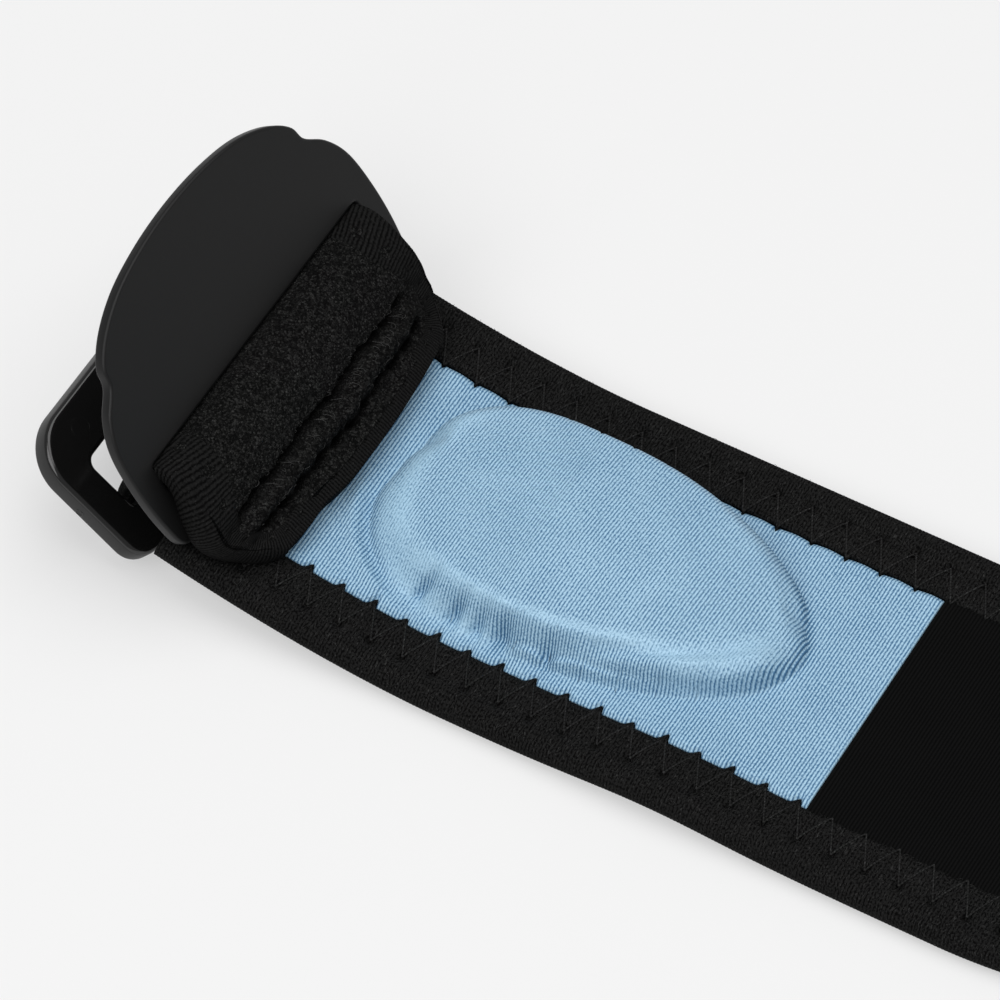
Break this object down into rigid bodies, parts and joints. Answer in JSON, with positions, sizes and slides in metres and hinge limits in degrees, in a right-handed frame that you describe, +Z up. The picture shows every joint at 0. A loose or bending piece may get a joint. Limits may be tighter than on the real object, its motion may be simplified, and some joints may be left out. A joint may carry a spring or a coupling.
{
  "type": "tennis elbow support",
  "caption": "Forearm counterforce strap lying open: bound knit band, domed pressure pad under a ribbed lining, slotted shield plate and swinging closing loop.",
  "frame": {"origin": "middle of the whole support's box, on the surface that it lies on", "axes": "+X along the strap from the loop end to the free end, +Y across the strap, +Z up out of the inner side"},
  "size_m": [0.3332, 0.0732, 0.0494],
  "materials": {
    "band_knit": "rib knit, matte",
    "binding_knit": "knitted tape, matte",
    "lining_knit": "ribbed knit, soft sheen",
    "pad_core": "soft, matte",
    "tab_pile": "brushed loop pile",
    "plate_plastic": "fine matte",
    "loop_plastic": "satin gloss",
    "hook_tape": "hook fastener"
  },
  "bodies": {
    "strap": {"strap_band": "band_knit", "edge_binding": "binding_knit", "lining_panel": "lining_knit", "pressure_pad": "pad_core", "fold_tab": "tab_pile", "tab_binding": "binding_knit", "shield_plate": "plate_plastic", "hook_patch": "hook_tape"},
    "loop": {"buckle_loop": "loop_plastic"}
  },
  "joints": [
    {"name": "loop_swing", "type": "hinge", "parent": "strap", "child": "loop", "pos_m": [-0.14804, -0.00085, 0.0072], "axis": [0, 1, 0], "range_deg": [-45, 25]}
  ]
}
